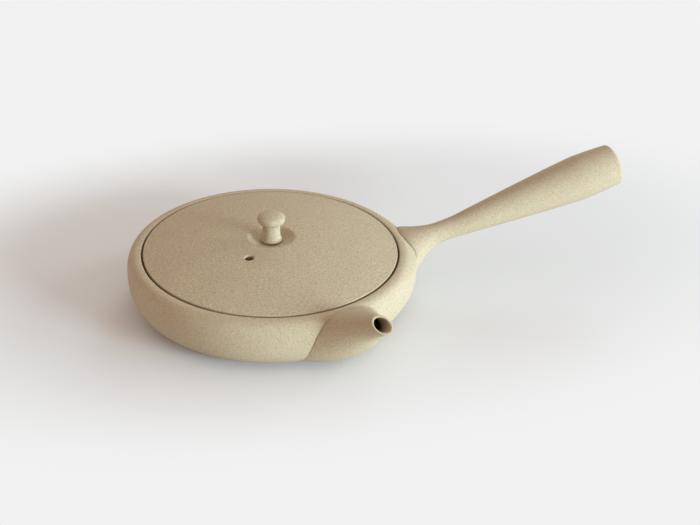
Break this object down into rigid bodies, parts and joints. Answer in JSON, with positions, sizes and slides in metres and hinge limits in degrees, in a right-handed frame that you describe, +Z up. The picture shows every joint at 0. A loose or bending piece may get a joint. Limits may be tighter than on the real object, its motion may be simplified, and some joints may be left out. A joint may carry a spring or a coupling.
{
  "type": "side-handled teapot",
  "caption": "Flat round stoneware teapot with a hollow side handle, short cone spout, built-in strainer and inset domed lid with a waisted knob.",
  "frame": {"origin": "centre of the flat base, on the pot's axis", "axes": "+Z up along the pot's axis, +X along the side handle seen from above, spout towards -Y and a little +X"},
  "size_m": [0.2386, 0.151, 0.0606],
  "materials": {
    "pot_clay": "matt unglazed sand-coloured stoneware with fine dark specks",
    "inner_clay": "matt unglazed stoneware, as pierced and fettled inside the pot",
    "lid_clay": "matt unglazed sand-coloured stoneware with fine dark specks, faint turning lines"
  },
  "bodies": {
    "pot": {"pot_body": "pot_clay", "spout": "pot_clay", "handle": "pot_clay", "strainer": "inner_clay"},
    "lid": {"lid_plate": "lid_clay", "knob": "lid_clay"}
  },
  "joints": [
    {"name": "lid_lift", "type": "slide", "parent": "pot", "child": "lid", "axis": [0, 0, 1], "range_m": [0, 0.04]}
  ]
}
